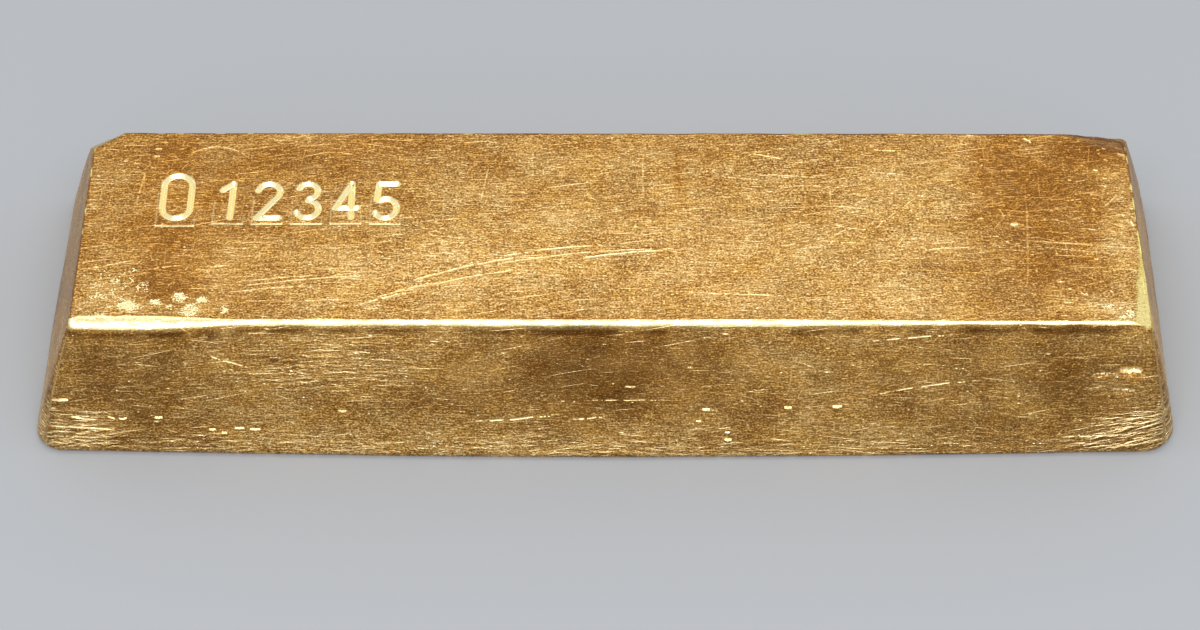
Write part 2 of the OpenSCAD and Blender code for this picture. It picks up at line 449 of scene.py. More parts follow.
# Splashes of rough skin on the small face: middle, half size, strength
SPLASHES = np.array([(-113.8, -21.8, 6.0, 6.0, 0.34), (-110.6, -25.4, 2.8, 2.0, 0.95),
                     (-104.6, -24.0, 2.5, 1.0, 1.0), (-98.9, -22.5, 1.8, 1.6, 1.0),
                     (-96.2, -26.4, 2.2, 2.3, 1.0), (-93.6, -23.2, 1.8, 1.0, 0.9),
                     (-88.2, -26.1, 0.8, 1.7, 0.9), (-100.9, -25.2, 0.9, 0.8, 0.9),
                     (-116.8, -18.0, 3.4, 2.6, 0.30), (116.6, -25.2, 3.0, 1.4, 0.7),
                     (119.4, -27.4, 2.6, 1.6, 0.9)])

# Dents in the front wall, and blisters under 0: middle, half size, depth, turn in degrees
FRONT_DENTS = (
    ((-127.5, -36.7, 14.5), (2.0, 3, 0.75), -0.22, 0), ((53.8, -37.9, 13.7), (1.0, 3, 0.8), -0.25, 0),
    ((121.6, -34.1, 22.6), (3.4, 4, 1.5), 1.10, -6), ((115.0, -34.4, 21.8), (2.8, 3, 0.7), 0.42, 5),
    ((41.9, -38.0, 13.5), (0.9, 3, 0.7), -0.2, 0), ((28.5, -41.0, 5.2), (0.9, 3, 0.7), -0.2, 0),
    ((-90.0, -39.8, 7.3), (3.4, 3, 0.6), 0.38, 4), ((120.0, -36.0, 17.4), (3.4, 3, 0.7), 0.40, 8))


def relief(p, where):
    """Height added along the skin's normal, in mm: wide, middling and fine noise, the
    punched row, splashes, dents and laps. Also the masks that colour it."""
    flat, wall = np.where(where == TOP, 1.0, 0.0), where == WALL
    h = 0.10 * noise(p, (34, 22, 22), 1) + 0.05 * layered(p, (9, 6, 6), 5, 2)
    h = h + 0.014 * layered(p, (2.6, 1.6, 1.6), 9, 2)
    h = h * np.where(where == UNDER, 0.6, 1.0)
    h = h + 0.07 * layered(p, (4.5, 9, 9), 15, 3) * (where == EDGE)
    punched, groove = (part * flat for part in punched_relief(p))
    h = h + punched
    # crumbly splashes of skin beside the worn front edge
    q = (p[:, None, :2] - SPLASHES[None, :, :2]) / SPLASHES[None, :, 2:4]
    zone = np.max(SPLASHES[:, 4] * (1.25 - np.sum(q * q, axis=2)), axis=1)
    broken = layered(p, (2.2, 1.7, 2.0), 31, 3)
    pitted = smooth((np.maximum(zone, -1.9) * 0.55 + 0.92 * broken) * 3.2)
    pitted = pitted * flat * (0.45 + 0.55 * smooth((zone - 0.3) / 0.45))
    h = h + pitted * (0.05 + 0.16 * layered(p, (1.4, 1.1, 1.4), 44, 2))
    for centre, reach, deep, turn in FRONT_DENTS:
        h = h - deep * dent(p, centre, reach, turn) * (p[:, 1] < -20)
    # laps of the skin low on the front corners
    low = smooth((17 - p[:, 2]) / 9) * smooth((p[:, 2] - 0.8) / 2)
    ends = smooth((p[:, 0] - 104) / 22) + 0.6 * smooth((-108 - p[:, 0]) / 16)
    rise = corner_rise(p[:, 0])
    q = p + 1.2 * np.stack([noise(p, 6.0, 81), 0 * h, noise(p, 6.0, 82) - rise / 1.2], -1)
    lap = np.abs(noise(q, (6.0, 30, 1.9), 71)) + 0.5 * np.abs(noise(q, (2.6, 9, 1.3), 72)) - 0.4
    h = h + 0.26 * lap * low * ends * (wall | (where == RIM))
    rough = 0.30 * smooth(1.6 - np.hypot((p[:, 0] + 66) / 22, (p[:, 2] - 24) / 7)) * wall
    beaten = np.clip(low * ends + 0.30 * smooth((9 - p[:, 2]) / 5) + rough, 0, 1)
    return h, groove, pitted, beaten * smooth((2 - p[:, 1]) / 30)


# ---- the bar's mesh
TOP, EDGE, WALL, RIM, UNDER = range(5)

# Finer patches on the front wall, under its dents: x range, share of height range
WALL_PATCHES = ((109.0, 126.0, 0.50, 0.80), (50.0, 57.5, 0.33, 0.44), (39.0, 44.0, 0.33, 0.44),
                (26.0, 31.0, 0.09, 0.19), (-94.5, -85.5, 0.14, 0.26))
PATCH_CELL, DIGITS_CELL, WALL_RISE = 0.3, 0.2, 33


def fit_wall_patches(m, g, keep, up, st):
    """Sets finer patches into the front wall's rows g, whose shares of height are up, and
    takes the cells under them out of keep."""
    columns = np.arange(st.quarter[0] + HALF + 1, st.quarter[1] - HALF)
    share = st.share
    for x0, x1, w0, w1 in WALL_PATCHES:
        # the wall is some 16 mm longer where the patches are than at the small face
        s0, s1 = ((x + TOP_L / 2 + 8) / (TOP_L + 16) for x in (x0, x1))
        i0 = columns[np.searchsorted(share[columns], s0) - 1]
        i1 = columns[min(np.searchsorted(share[columns], s1), len(columns) - 1)]
        j0, j1 = np.searchsorted(up, w0) - 1, np.searchsorted(up, w1)
        low, high, left, right = up[j0], up[j1], share[i0], share[i1]
        nx, nz = int((x1 - x0) / PATCH_CELL), int((w1 - w0) * WALL_RISE / PATCH_CELL)
        ix, iz = 0.15 / nx, 0.15 / nz  # the patch stays a little inside its gap
        S, W = np.meshgrid(np.linspace(mix(left, right, ix), mix(right, left, ix), nx),
                           np.linspace(mix(low, high, iz), mix(high, low, iz), nz))
        fine = m.add(wall_point(0 * S.astype(int), -1 + 0 * S, S, W), WALL)
        m.patch(g, keep, (j0 + RIM_ROWS, j1 + RIM_ROWS), (i0, i1), fine)


def add_underside(m, st, rim):
    """The level rim and the hollow, a coarser sheet joined to the rim's ring of points.

    The hollow's height is its depth times an even S of how far inside the rim a point
    lies: a rounded-off least of its distances from the ends and from the bowed sides.
    """
    inner = Stations(((1, 110),), ((1, 28),), 2)
    ring = skin(inner.k, inner.angle, inner.share, 0.0, RIM_RUN + 0.5)
    bed = sheet_from_border(ring, inner)
    hx = BASE_L / 2 - RIM_RUN - np.abs(bed[..., 0])
    bow = SIDE_BOW * (1 - (bed[..., 0] / (BASE_L / 2)) ** 2)
    hy = BASE_W / 2 - RIM_RUN + bow - np.abs(bed[..., 1])
    near = -DISH_BLEND * np.log(np.exp(-hx / DISH_BLEND) + np.exp(-hy / DISH_BLEND))
    bed[..., 2] = DISH_DEPTH * smooth((near - RIM_W) / DISH_SLOPE)
    number = m.add(bed, UNDER)
    m.quads(number[:, ::-1])
    rim_points = rim_ring(st.k, st.angle, st.share, -math.pi / 2)
    m.zip_rings(rectangle_ring(number)[0], inner.ring_share(ring), rim, st.ring_share(rim_points))


def build_bar():
    """The whole skin: level top sheet with finer patches, rounded edge, leaning walls,
    turned-under rim and the hollow cast face, all joined into one closed mesh."""
    m = Mesh()
    st = Stations(LONG_RUNS, END_RUNS, HALF)
    k, angle, share = st.k, st.angle, st.share
    # small face
    sheet = sheet_from_border(edge_ring(k, angle, share, 0.0), st)
    sheet[..., 2] = HEIGHT
    number = m.add(sheet, TOP)
    keep = fit_patch(m, sheet, number, np.arange(-107.2, -47.6, DIGITS_CELL),
                     np.arange(-0.9, 16.6, DIGITS_CELL), TOP, HEIGHT)
    m.quads(number, keep)
    # rounded edge, walls and rim: rings from the top down
    rows = [rectangle_ring(number)[0]]
    for s in np.linspace(0, 1, EDGE_ROWS + 1)[1:]:
        rows.append(m.add(edge_ring(k, angle, share, s), EDGE))
    up = spaced(WALL_RUNS)
    for w in up[-2::-1]:
        rows.append(m.add(wall_point(k, angle, share, w), WALL))
    for s in np.linspace(DRAFT, -math.pi / 2, RIM_ROWS + 1)[1:]:
        rows.append(m.add(rim_ring(k, angle, share, s), RIM))
    g = np.stack(rows[::-1])
    keep = np.ones((len(g) - 1, st.count), bool)
    fit_wall_patches(m, g, keep, up, st)
    m.quads(g, keep, wrap=True)
    add_underside(m, st, rows[-1])
    return m


def point_normals(p, faces):
    """Unit normal at each point: the sum of its faces' area vectors."""
    n = np.zeros_like(p)
    for f in faces:
        a = np.cross(p[f[:, 1]] - p[f[:, 0]], p[f[:, 2]] - p[f[:, 0]])
        if f.shape[1] == 4:
            a = a + np.cross(p[f[:, 2]] - p[f[:, 0]], p[f[:, 3]] - p[f[:, 0]])
        for c in range(f.shape[1]):
            for axis in range(3):
                n[:, axis] += np.bincount(f[:, c], a[:, axis], len(p))
    return unit(n)


SLANT = 1.051  # down the face of a wall for each millimetre of height, 0.323 of it in plan
# The unfolded underside and end walls are set this far off, clear of the other faces
UNDER_AT, END_AT, END_SIDE = 200, 300, 50.0


def unfolded(p, n, where):
    """Along, across and side number of each point in mm, with the walls folded flat, so
    that strokes run along the long faces and across the end faces."""
    wall = (where != TOP) & (where != UNDER)
    ends = (np.abs(n[:, 0]) > 0.6) & wall
    drop = HEIGHT - p[:, 2]
    side = np.where(wall & (np.abs(n[:, 1]) > 0.3), np.sign(n[:, 1]), 0)
    across = p[:, 1] + side * (SLANT - 0.323) * drop + np.where(where == UNDER, UNDER_AT, 0)
    rise = corner_rise(p[:, 0]) * smooth((16 - p[:, 2]) / 10)
    across = across - rise * (side < 0)
    return np.stack([np.where(ends, p[:, 1] + END_AT * np.sign(n[:, 0]), p[:, 0]),
                     np.where(ends, SLANT * drop, across), np.where(ends, END_SIDE, 0.0)], -1)


# Blots of film and painted shade: middle, half size along and across, strength
FILM_AND_SHADE = (
    (-112, 0, 40, 40, 0.52), (118, 0, 40, 40, 0.35), (105, 9, 22, 16, 0.9), (104, -14, 20, 9, 0.6),
    (95, 15, 7, 13, 1), (-96, 4, 26, 12, 0.6), (-104, -8, 5, 13, 0.7), (-105, 23, 6, 6, 0.8),
    (-80, 22, 44, 9, 0.48), (-60, 25, 18, 5, 0.5), (-104, -20, 14, 6, 0.5), (-58, -3, 22, 8, 0.3),
    (60, 24, 70, 5, 0.4), (2, -3, 5, 22, 0.3), (10, -12, 52, 16, -0.55), (-35, -15, 34, 14, -0.5),
    (-100, -18.5, 12, 4, 0.6), (-98, -26.5, 16, 3, -0.6), (17.3, 13, 1.5, 9, 1.3),
    (-7.4, -18, 1.3, 6, 0.8), (121, -6, 5, 24, -0.9), (120, 26, 10, 6, 2.2), (45, 18, 12, 8, -0.6),
    (78, 3, 12, 7, -0.6), (72, 0, 7, 40, -0.3), (60, 4, 11, 22, -0.25), (57, -22, 8, 8, -0.35),
    (84, 20, 6, 7, -0.45), (-118, 11, 6, 10, -0.6), (-50, -21, 10, 6, -0.5), (-78, -14, 7, 4, -0.3),
    (62, -25, 16, 3.5, -0.6), (-116, -20, 8, 7, -1.1), (116, -26, 12, 3, -1.3),
    (122, -14, 3, 12, -0.6), (104, -6.6, 9, 1.3, -0.8), (114, -8.1, 10, 1.3, -0.7),
    # the front wall, by its place in plan: painted shade and reflection, partly the film
    (0, -36, 400, 8, 0.5), (-45, -43.5, 75, 4, -0.9), (1, -33.5, 28, 5, 0.8), (-8, -36, 46, 5, 0.85),
    (72, -35, 30, 7, 0.6), (112, -36, 18, 6, 0.6), (-62, -36, 22, 7, -0.4), (-112, -35, 16, 5, 0.5),
    (-5, -34, 9, 4, 0.8), (-19, -36.5, 7, 4, -0.7), (9, -35.5, 7, 3, -0.3), (44, -32.5, 6, 3, -0.7),
    (56, -38, 10, 3, -0.4))


def film_and_shade_map(p, n, where, worn):
    """The brown film and painted shade: a sum of soft round blots, which on the front wall
    are painted shade and reflection; darker along the seam under the front edge and on
    that edge's lowest turn; film on the other edges where they aren't worn."""
    blots = np.array(FILM_AND_SHADE)
    q = (p[:, None, :2] - blots[:, :2]) / blots[:, 2:4]
    film_and_shade = np.exp(-np.sum(q ** 2, axis=2)) @ blots[:, 4]
    seam = HEIGHT - 2.6 - 1.2 * smooth((-70 - p[:, 0]) / 20)
    seam = (where == WALL) & (n[:, 1] < -0.5) & (p[:, 2] > seam)
    film_and_shade = film_and_shade + 2.4 * seam * smooth(0.6 + noise(p, 4.0, 91))
    film_and_shade = film_and_shade + 1.6 * (where == EDGE) * (n[:, 1] > -0.25) * (1 - worn)
    return film_and_shade + 1.2 * (where == EDGE) * smooth((-0.84 - n[:, 1]) / 0.08)


# Long scratches on the unfolded faces: start, end, half width, bend in half widths, strength
LONG_SCRATCHES = (
    (-27.9, -11.1, 1.9, -6.4, 0.34, 2.5, 0.8), (-7.5, -11, 13.6, -8.1, 0.3, 1.5, 1),
    (-30, -13.6, 21.8, -7.9, 0.3, 6, 0.7), (-48, -18.8, -14.5, -9.2, 0.4, 2.5, 0.7),
    (-46, -20.4, -18, -13.6, 0.34, 1.5, 0.6), (-58.8, -25.8, -43.3, -20.6, 0.42, 1, 0.9),
    (-54.3, -23.2, -39.4, -18.1, 0.34, 1, 0.7), (-86.3, -19.4, -54.2, -15.7, 0.26, 1.5, 0.7),
    (-89.4, -21.3, -68.2, -19.1, 0.26, 1, 0.7), (-86, -17.9, -66, -15.8, 0.2, 1, 0.6),
    (-108.1, -14.4, -98.6, -12.7, 0.24, 0.5, 0.9), (-120.5, -14.2, -110.1, -11, 0.24, 0.5, 0.7),
    (-92.9, -13.5, -87.8, -12.7, 0.3, 0, 0.9), (-53.1, -4.2, -46.8, -3.3, 0.24, 1.5, 0.8),
    (-15.5, 11.4, -2.8, 13.7, 0.22, 0.5, 0.6), (34.2, 22.9, 42.8, 20.9, 0.28, 0.5, 1),
    (34, 16.2, 51, 15, 0.2, 0.5, 0.9), (20.9, -21.4, 42.4, -22, 0.24, 0, 0.8),
    (63.1, 16.8, 71.9, 16, 0.26, 0, 0.9), (63.5, 24.2, 70.8, 23.7, 0.3, 0, 0.8),
    (73.8, -8.1, 87.5, -7, 0.22, 0.8, 0.8), (118.5, 6.1, 121.4, 9.3, 0.24, 0.3, 0.8),
    (-28.3, 20.2, -30.1, 6.3, 0.22, 0.5, -0.5), (8.5, 22.2, 8.6, 8.5, 0.24, 0.5, -0.5),
    (60.2, -50.5, 89, -45.6, 0.3, 2, 0.9), (58.4, -35.3, 82.4, -33, 0.26, 0.5, 0.9),
    (-92.9, -38.8, -82.3, -42.5, 0.36, -0.6, 0.8), (-74.2, -43.2, -68.7, -44.5, 0.32, 0, 0.8),
    (-6.1, -51.6, 15.9, -51.5, 0.22, 0, 0.9), (-33.7, -57.4, -9.5, -55, 0.34, -1.6, 0.9),
    (-9.1, -56.9, 0.6, -55.7, 0.34, -0.8, 0.9), (-132, -58.9, -114.8, -60.1, 0.22, 0.5, 1.7),
    (111.4, -58.6, 128.9, -57.4, 0.36, -0.6, 0.9), (106.3, -61.9, 125.2, -63.4, 0.32, 0.6, 0.9),
    (-101.8, 21.6, -85.4, 20.6, 0.26, 13, 0.7), (-74.3, 20.8, -59.4, 21.8, 0.24, 7, 0.6),
    (-35.5, 25.8, -25.1, 25.8, 0.24, 4, 0.6), (-110.5, 17.5, -111.9, 5.2, 0.3, 0.3, -0.5),
    (99.6, 12.6, 97.1, -22.1, 0.3, 1.6, -0.36), (97.1, -4.9, 124.3, -7.4, 0.3, 0.6, 0.5),
    (98, -6.6, 122, -9.6, 0.26, 0.6, 0.4), (-109, 24.2, -107.2, 24.3, 0.35, 0, 1),
    (-109.2, 21.9, -107.4, 21.8, 0.4, 0, 1), (-114, 19.3, -111.8, 19.5, 0.35, 0, 0.9),
    (-107.8, 26.4, -105.5, 26.4, 0.35, 0, 0.9), (95.2, -0.1, 97.3, 0.1, 0.65, 0, 1),
    (122.7, 23, 124.9, 22.4, 0.6, 0, 1), (18.5, -42.4, 20, -42.2, 0.35, 0, 0.9),
    (4, -47.7, 6.9, -47.7, 0.3, 0, 1), (-63, -54.5, -60.6, -54.4, 0.45, 0, 1),
    (-125.5, -56.3, -119.2, -57.1, 0.2, -1, 1.8), (-106, -56.6, -103.8, -56.5, 0.34, 0, 1.8),
    (-93.4, -60, -91.6, -60, 0.3, 0, 1.8), (-126.3, -56.2, -118.9, -56.4, 0.3, 0.5, 0.9),
    (-132, -61.5, -116, -62.3, 0.36, 0, 0.8),
    # bright knocks on the front wall
    (52.6, -53.3, 55, -53.2, 0.36, 0, 2), (41.3, -53.6, 43.3, -53.6, 0.3, 0, 2),
    (27.6, -62.7, 29.4, -62.7, 0.36, 0, 2), (-130, -51.6, -125.4, -51.5, 0.34, 0, 2),
    (22.2, -54.2, 24.2, -54.1, 0.34, 0, 2), (118.4, -43.4, 124.6, -43, 1, 0, 1),
    (112.4, -44.2, 117.2, -43.8, 0.5, 0, 0.9), (117, -48.4, 123.4, -48.9, 0.5, 0.4, 0.9),
    (-90.4, -60.9, -89, -60.9, 0.26, 0, 1.8), (20.8, -57.5, 22.2, -57.5, 0.2, 0, 1.8),
    (-83.8, -59.9, -81, -59.9, 0.3, 0, 2), (27.7, -60.7, 28.9, -60.7, 0.24, 0, 1.8),
    (-87.4, -59.7, -84.8, -59.6, 0.34, 0.3, 2), (-117, -56.3, -115.1, -57.1, 0.24, 0.6, 1.8),
    (-114.4, -56.8, -112.2, -56.5, 0.26, -1, 1.8),
    # small bright pits at the right end of the small face
    (118.6, 14.8, 119.7, 14.9, 0.3, 0, 1), (118.6, 12.2, 119.4, 12.3, 0.3, 0, 1),
    (117.8, 10.8, 118.7, 10.7, 0.28, 0, 0.9), (123.6, 1.4, 124.2, -0.4, 0.4, 0, 1),
    (118.9, -2, 119.9, -2.1, 0.3, 0, 0.9), (100.4, 28.1, 102.6, 26.4, 0.4, 0.6, 1),
    (116.4, 17.5, 117.8, 17.3, 0.26, 0, 0.9), (119.4, 21, 120.6, 20.7, 0.28, 0, 0.9),
    (87.4, 20.6, 89.2, 20.2, 0.26, 0, 0.9), (94.9, 17.5, 96.8, 17.4, 0.26, 0, 0.9),
    (86, 10.4, 88.2, 9.6, 0.24, 0, 0.9), (92.8, 5.4, 93.9, 1.8, 0.24, 1.2, -0.7),
    (70, 29.3, 72, 29.4, 0.3, 0, 1), (87, 29, 88.8, 28.8, 0.3, 0, 0.9),
    (119.3, 24.9, 120.5, 24.7, 0.34, 0, 1), (116.5, 17.7, 117.7, 17.4, 0.34, 0, 1),
    (119.4, 21, 120.2, 21, 0.3, 0, 0.9), (110.2, 14.4, 111, 14.3, 0.28, 0, 1),
    (106.2, 5.4, 107.3, 5.4, 0.24, 0, 0.8), (114.8, 5.3, 115.8, 4.7, 0.3, 0, 0.9),
    (121.7, 3.6, 122.4, 2.8, 0.34, 0, 1), (113.4, -1.2, 115.3, -1.5, 0.26, 0, 1),
    (93.6, -5.1, 94.6, -5.8, 0.3, 0, 0.9), (105, -8.8, 105.7, -9.1, 0.3, 0, 1),
    (113.8, -10.6, 115, -10.8, 0.32, 0, 1), (99.1, -9.3, 99.9, -9.4, 0.26, 0, 0.9),
    (99.7, -14.1, 100.4, -14.7, 0.28, 0, 0.9), (107, -19.9, 107.7, -19.9, 0.28, 0, 1),
    (109.5, -21.1, 111.6, -21.8, 0.3, 0, 1), (116.6, -20.7, 117.4, -20.7, 0.3, 0, 1),
    (105.6, -24.2, 108, -24, 0.28, 0, 0.9), (104.2, 20, 105.7, 19.1, 0.22, 0, 0.9),
    (95.9, 17.6, 97.5, 17.4, 0.26, 0, 0.9), (108.9, 7.6, 114.4, 8.6, 0.18, 0, 0.9),
    # crossing scratches on the right of the small face
    (52.7, 0.4, 62.9, -1.6, 0.22, -2.2, 0.8), (51.9, -4.7, 57.4, -0.8, 0.2, 0, 0.8),
    (51.8, -6.5, 53.9, -4.6, 0.2, 0, 0.7), (54.3, -5.7, 59.4, -5.7, 0.22, 0, 0.8),
    (57.1, -13.3, 60.7, -10.2, 0.18, 0, 0.8), (63.8, -0.8, 65.8, 2, 0.18, 0, 0.7),
    (66.4, 2, 68.9, 4.4, 0.18, 0, 0.8), (70.4, 5.6, 72.7, 8, 0.18, 0, 0.8),
    (67.9, -7.1, 70.8, -2.4, 0.16, 0, 0.6), (73.7, -8.2, 81.4, -6.9, 0.24, 0, 0.9),
    (53.2, 12, 53.1, 5.7, 0.2, 0, -0.6), (73.6, 9.2, 76, 9, 0.26, 0, 0.9),
    (47.6, 6.1, 61.8, 5.1, 0.18, 1, 0.6), (71.2, -15, 74.9, -16.2, 0.18, 0, 0.6),
    (79.4, 7.7, 79.9, 5.2, 0.3, 0, -0.8))


# A scratch's field fades out over the last part of its reach. Scratches nearer to each
# other than twice the gap go on separate layers. Nothing is as far as the last value
FIELD_REACH, FIELD_FADE, LAYER_GAP, FAR_OFF = 3.2, 1.6, 4.2, 99.0


def scratch_fields(lay):
    """Long scratches as fields over the skin, for the material to draw sharp lines from.

    For the nearest scratch each point gets: how far along it lies (0 to 1), how far to
    its side in half widths, with its bend taken off, and its strength, fading to nothing
    a few millimetres away.
    """
    layers = []
    for row in LONG_SCRATCHES:
        a, b = np.array(row[:2]), np.array(row[2:4])
        length, half, bow, strength = np.linalg.norm(b - a), 1.15 * row[4], *row[5:]
        u = (b - a) / length
        v = np.array([-u[1], u[0]])
        q = lay[:, :2] - a
        t = q @ u / length
        bend = bow * half * 4 * t * (1 - t)
        off = q @ v - np.where((t > -0.1) & (t < 1.1), bend, 0)
        beyond = np.maximum(np.maximum(-t, t - 1), 0) * length
        away = np.hypot(off, beyond) + np.where(lay[:, 2] > 1, FAR_OFF, 0)
        near = smooth((FIELD_REACH - away) / FIELD_FADE)
        for layer in layers:
            if not ((layer[1] < LAYER_GAP) & (away < LAYER_GAP)).any():
                break
        else:
            layer = [np.zeros_like(lay), np.full(len(lay), FAR_OFF)]
            layers.append(layer)
        closer = away < layer[1]
        own = np.stack([t, off / half, strength * near], -1)
        layer[0][closer] = own[closer]
        layer[1] = np.minimum(layer[1], away)
    return [layer[0] for layer in layers]


def wear(p, n, where, on_cut):
    """How far the edges and cuts are worn bare, and the share of that on the front edge and
    the bright cut that is painted paler, partly bare gold and partly a painted highlight."""
    edge = smooth((n[:, 2] - 0.33) * 4) * smooth((0.99 - n[:, 2]) * 25)
    knocked = smooth((noise(p, 2.4, 55) - np.where(n[:, 0] > 0.3, -0.1, 0.3)) * 5)
    edge = edge * np.where(n[:, 1] < -0.25, 1.0, knocked)
    worn = np.maximum(np.where(where == EDGE, edge, 0.0), 0.8 * on_cut)
    # the worn front edge and the front cuts are painted paler: a painted highlight over bare gold
    pale = smooth((-0.25 - n[:, 1]) * 6) * (where == EDGE)
    return worn, np.maximum(pale, 0.55 * on_cut * smooth((-6 - p[:, 1]) / 20))


def used_points(m):
    """The collected points that a face uses, what each lies on, and the faces."""
    p, where = np.concatenate(m.points), np.concatenate(m.where)
    used = np.zeros(len(p), bool)
    for f in m.faces:
        used[f.ravel()] = True
    renumber = np.cumsum(used) - 1
    return p[used], where[used], [renumber[f] for f in m.faces]


def in_scene(name, data):
    """A new object with the given data, put in the scene."""
    ob = bpy.data.objects.new(name, data)
    bpy.context.scene.collection.objects.link(ob)
    return ob


def smooth_mesh(name, p, faces):
    """A smooth shaded mesh in metres from points in mm and arrays of faces."""
    loops = np.concatenate([f.ravel() for f in faces])
    sizes = np.concatenate([np.full(len(f), f.shape[1]) for f in faces])
    mesh = bpy.data.meshes.new(name)
    mesh.vertices.add(len(p))
    mesh.vertices.foreach_set("co", (p * 0.001).astype(np.float32).ravel())
    mesh.loops.add(len(loops))
    mesh.loops.foreach_set("vertex_index", loops.astype(np.int32))
    mesh.polygons.add(len(sizes))
    starts = np.append(0, np.cumsum(sizes)[:-1])
    mesh.polygons.foreach_set("loop_start", starts.astype(np.int32))
    mesh.update(calc_edges=True)
    mesh.validate()
    mesh.shade_smooth()
    print(name, len(p), "points", int(np.sum(sizes - 2)), "triangles")
    return mesh


# What the skin carries for its material: how far each point is in a groove, on pitted
# skin or worn, its film and painted shade and the film's share off the walls, the worn
# parts painted paler as a highlight, and the beaten parts
MASKS = ("groove", "pitted", "worn", "film_and_shade", "tinted", "pale", "beaten")


def make_bar():
    """The bar's object: the cut and embossed skin, with its masks and scratch fields as
    attributes. Returns it and the number of scratch layers."""
    p, where, faces = used_points(build_bar())
    p, on_cut = apply_corner_cuts(p)
    n = point_normals(p, faces)
    lay = unfolded(p, n, where)
    h, groove, pitted, beaten = relief(p, where)
    # the rest plane stays level: no relief under the rim
    h = h * np.where((where == RIM) | (where == UNDER), smooth(p[:, 2] / 0.8), 1.0)
    worn, pale = wear(p, n, where, on_cut)
    p = p + n * h[:, None]
    p[:, 2] = np.maximum(p[:, 2], 0.0)

    mesh = smooth_mesh("bar_skin", p, faces)
    film_and_shade = film_and_shade_map(p, n, where, worn)
    tinted = film_and_shade * (where != WALL)
    for name, values in zip(MASKS, (groove, pitted, worn, film_and_shade, tinted, pale, beaten)):
        mesh.attributes.new(name, "FLOAT", "POINT").data.foreach_set(
            "value", values.astype(np.float32))
    fields = scratch_fields(lay)
    for name, field in [("lay", lay)] + [(f"scratch_{i}", f) for i, f in enumerate(fields)]:
        mesh.attributes.new(name, "FLOAT_VECTOR", "POINT").data.foreach_set(
            "vector", field.astype(np.float32).ravel())
    return in_scene("cast_bar", mesh), len(fields)


# ---- material nodes
class Nodes:
    """Short names for the nodes that a material or a group is made of."""

    def __init__(self, tree):
        self.tree = tree

    def put(self, kind, **values):
        """A new node of a kind, with its settings."""
        node = self.tree.nodes.new(kind)
        for name, value in values.items():
            setattr(node, name, value)
        return node

    def plug(self, socket, value):
        """Links an output to a socket, or gives the socket a fixed value."""
        if isinstance(value, bpy.types.NodeSocket):
            self.tree.links.new(value, socket)
        else:
            socket.default_value = value

    def feed(self, node, *values, **named):
        """Plugs values into a node's inputs, in order or by name. Returns its outputs."""
        for socket, value in zip(node.inputs, values):
            self.plug(socket, value)
        for name, value in named.items():
            self.plug(node.inputs[name.replace("_", " ")], value)
        return node.outputs

    def math(self, operation, a, b=0.0, c=0.0, clamp=False):
        return self.feed(self.put("ShaderNodeMath", operation=operation, use_clamp=clamp), a, b, c)[0]

    def times(self, a, b, clamp=False):
        return self.math("MULTIPLY", a, b, clamp=clamp)

    def minus(self, a, b):
        return self.math("SUBTRACT", a, b)

    def most(self, a, b):
        return self.math("MAXIMUM", a, b)

    def scaled(self, value, gain, base):
        """The value times gain, plus base."""
        return self.math("MULTIPLY_ADD", value, gain, base)

    def laid(self, base, *layers):
        """Base plus each layer's value times its gain."""
        for value, gain in layers:
            base = self.scaled(value, gain, base)
        return base

    def swung(self, base, *layers):
        """Base plus each layer's swing about a half, times its gain."""
        for value, gain in layers:
            base = self.scaled(self.minus(value, 0.5), gain, base)
        return base

    def vector(self, operation, a, b=(0, 0, 0), c=(0, 0, 0)):
        return self.feed(self.put("ShaderNodeVectorMath", operation=operation), a, b, c)[0]

    def painted(self, name, output="Fac"):
        """What the mesh carries at its points under a name: a value, or its Vector."""
        return self.put("ShaderNodeAttribute", attribute_name=name).outputs[output]

    def noise(self, where, scale, detail=2.0, rough=0.5, flat=True):
        node = self.put("ShaderNodeTexNoise", noise_dimensions="2D" if flat else "3D")
        return self.feed(node, Vector=where, Scale=scale, Detail=detail, Roughness=rough)["Fac"]

    def drawn(self, where, size, seed=0.0, detail=2.0, rough=0.5):
        """Flat noise with cells of the given length and width in mm."""
        at = self.vector("MULTIPLY_ADD", where, (1 / size[0], 1 / size[1], 1), (seed, 2.3 * seed, 0))
        return self.noise(at, 1.0, detail, rough)

    def cells(self, place):
        """A flat cell pattern: each place's nearest middle, its colour and distance."""
        node = self.put("ShaderNodeTexVoronoi", voronoi_dimensions="2D", feature="F1")
        return self.feed(node, Vector=place, Scale=1.0)

    def step(self, value, low, high):
        """0 below low, 1 above high, smooth between."""
        node = self.put("ShaderNodeMapRange", interpolation_type="SMOOTHSTEP")
        return self.feed(node, Value=value, From_Min=low, From_Max=high)["Result"]

    def turn(self, where, angle, size):
        """Turned about the face's upright, then divided by size."""
        node = self.put("ShaderNodeVectorRotate", rotation_type="Z_AXIS")
        return self.vector("DIVIDE", self.feed(node, Vector=where, Angle=angle)[0], size)

    def parts(self, vector):
        return self.feed(self.put("ShaderNodeSeparateXYZ"), vector)

    def joined(self, x=0.0, y=0.0, z=0.0):
        return self.feed(self.put("ShaderNodeCombineXYZ"), x, y, z)[0]

    def call(self, tree, **values):
        """A group node with its inputs set by name; returns its first output."""
        return self.feed(self.put("ShaderNodeGroup", node_tree=tree), **values)[0]


NUMBER, VECTOR = "NodeSocketFloat", "NodeSocketVector"


def group(name, inputs, output, fill):
    """A node group with named number or vector inputs and one vector output."""
    tree = bpy.data.node_groups.new(name, "ShaderNodeTree")
    for label, default in inputs.items():
        number = isinstance(default, float)
        kind = NUMBER if number else VECTOR
        socket = tree.interface.new_socket(label, in_out="INPUT", socket_type=kind)
        if default is not None:
            socket.default_value = default
    tree.interface.new_socket(output, in_out="OUTPUT", socket_type=VECTOR)
    n = Nodes(tree)
    start, end = n.put("NodeGroupInput"), n.put("NodeGroupOutput")
    n.plug(end.inputs[0], fill(n, start.outputs))
    return tree


